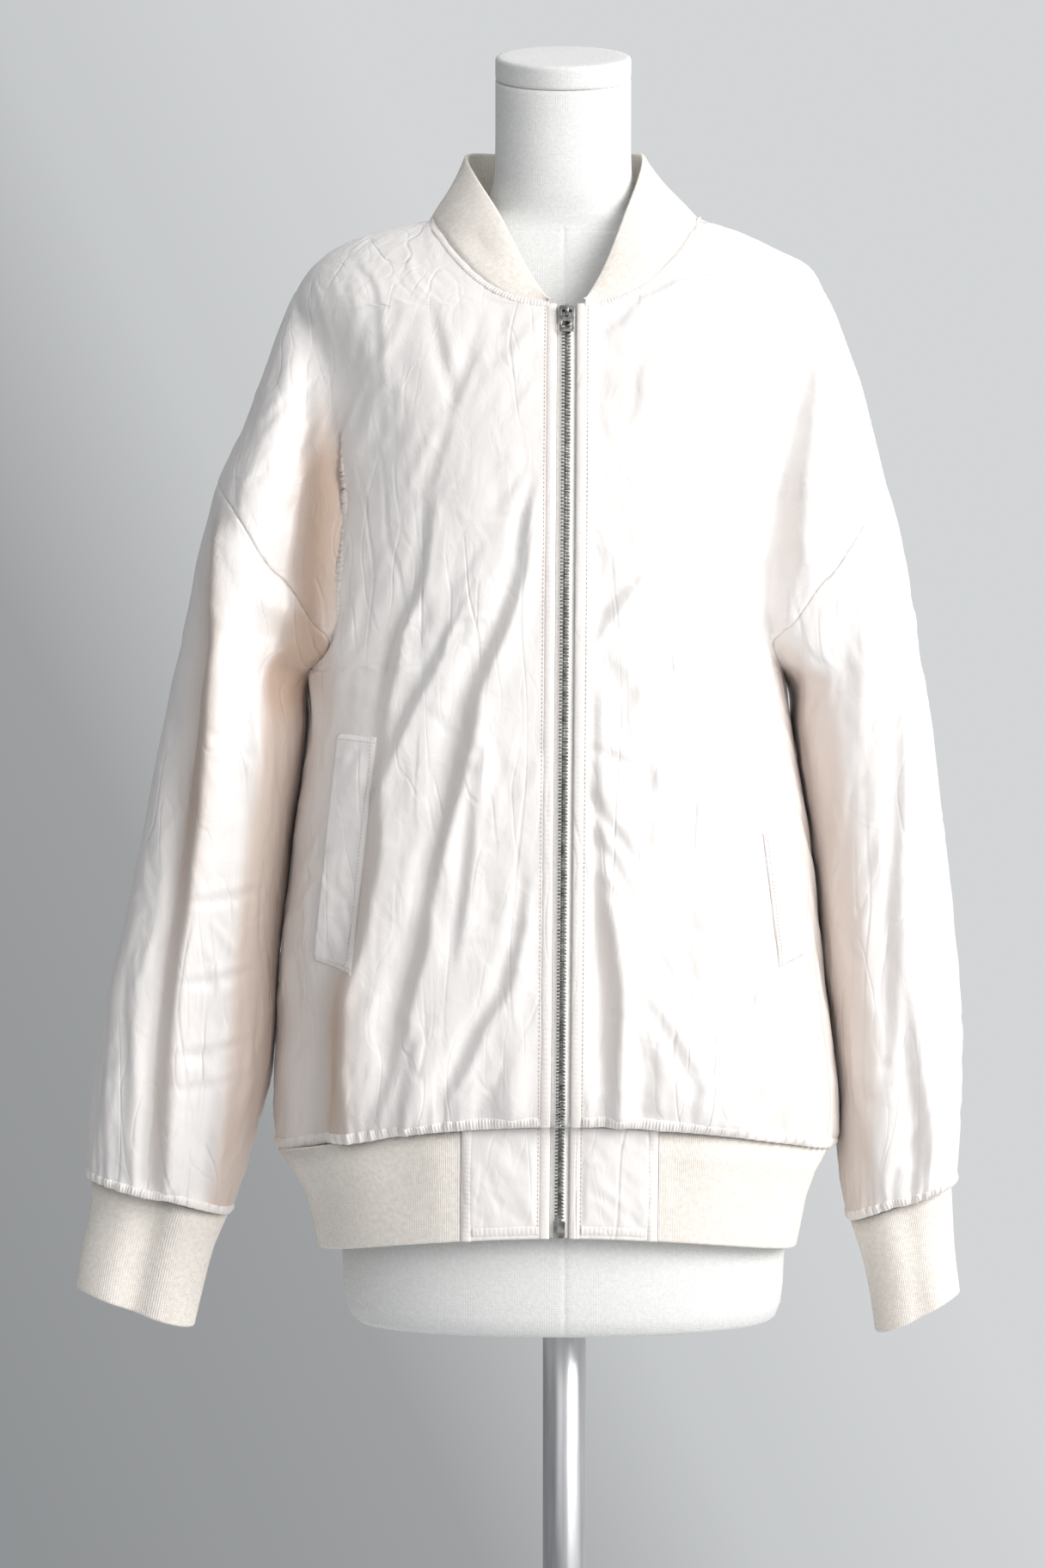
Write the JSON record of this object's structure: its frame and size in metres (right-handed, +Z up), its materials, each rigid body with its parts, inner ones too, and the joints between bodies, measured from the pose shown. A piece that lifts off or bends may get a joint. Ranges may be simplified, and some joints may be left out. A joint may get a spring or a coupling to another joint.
{
  "type": "bomber jacket on a dress form",
  "caption": "Loose satin bomber jacket with rib-knit collar, cuffs and hem and a metal front zip, resting on a limbless dress form with a round stand.",
  "frame": {"origin": "centre of the base plate's underside, on the floor, under the neck of the dress form", "axes": "+Z up, -Y out of the jacket's front, +X towards the wearer's left"},
  "size_m": [0.6527, 0.38, 1.5371],
  "materials": {
    "satin": "pale blush satin with a soft sheen",
    "rib_knit": "cream fine rib knit, matt",
    "zip_tape": "off-white woven tape",
    "zip_metal": "polished nickel",
    "form_cloth": "white cover cloth, matt",
    "stand_metal": "satin steel"
  },
  "bodies": {
    "jacket_and_form": {"back": "satin", "front_right": "satin", "front_left": "satin", "sleeve_right": "satin", "sleeve_left": "satin", "pocket_welt_right": "satin", "pocket_welt_left": "satin", "hem_band_right": "satin", "hem_band_left": "satin", "collar": "rib_knit", "cuff_right": "rib_knit", "cuff_left": "rib_knit", "hem_rib": "rib_knit", "zip_tape_right": "zip_tape", "zip_tape_left": "zip_tape", "zip_chain": "zip_metal", "zip_slider": "zip_metal", "zip_stop": "zip_metal", "form_torso": "form_cloth", "form_neck_cap": "form_cloth", "form_pole": "stand_metal", "form_base": "stand_metal"},
    "pull_tab": {"zip_pull": "zip_metal"}
  },
  "joints": [
    {"name": "pull_tab_hinge", "type": "hinge", "parent": "jacket_and_form", "child": "pull_tab", "pos_m": [0.00046, -0.11111, 1.32252], "axis": [-1, 0, 0], "range_deg": [0, 150]}
  ]
}
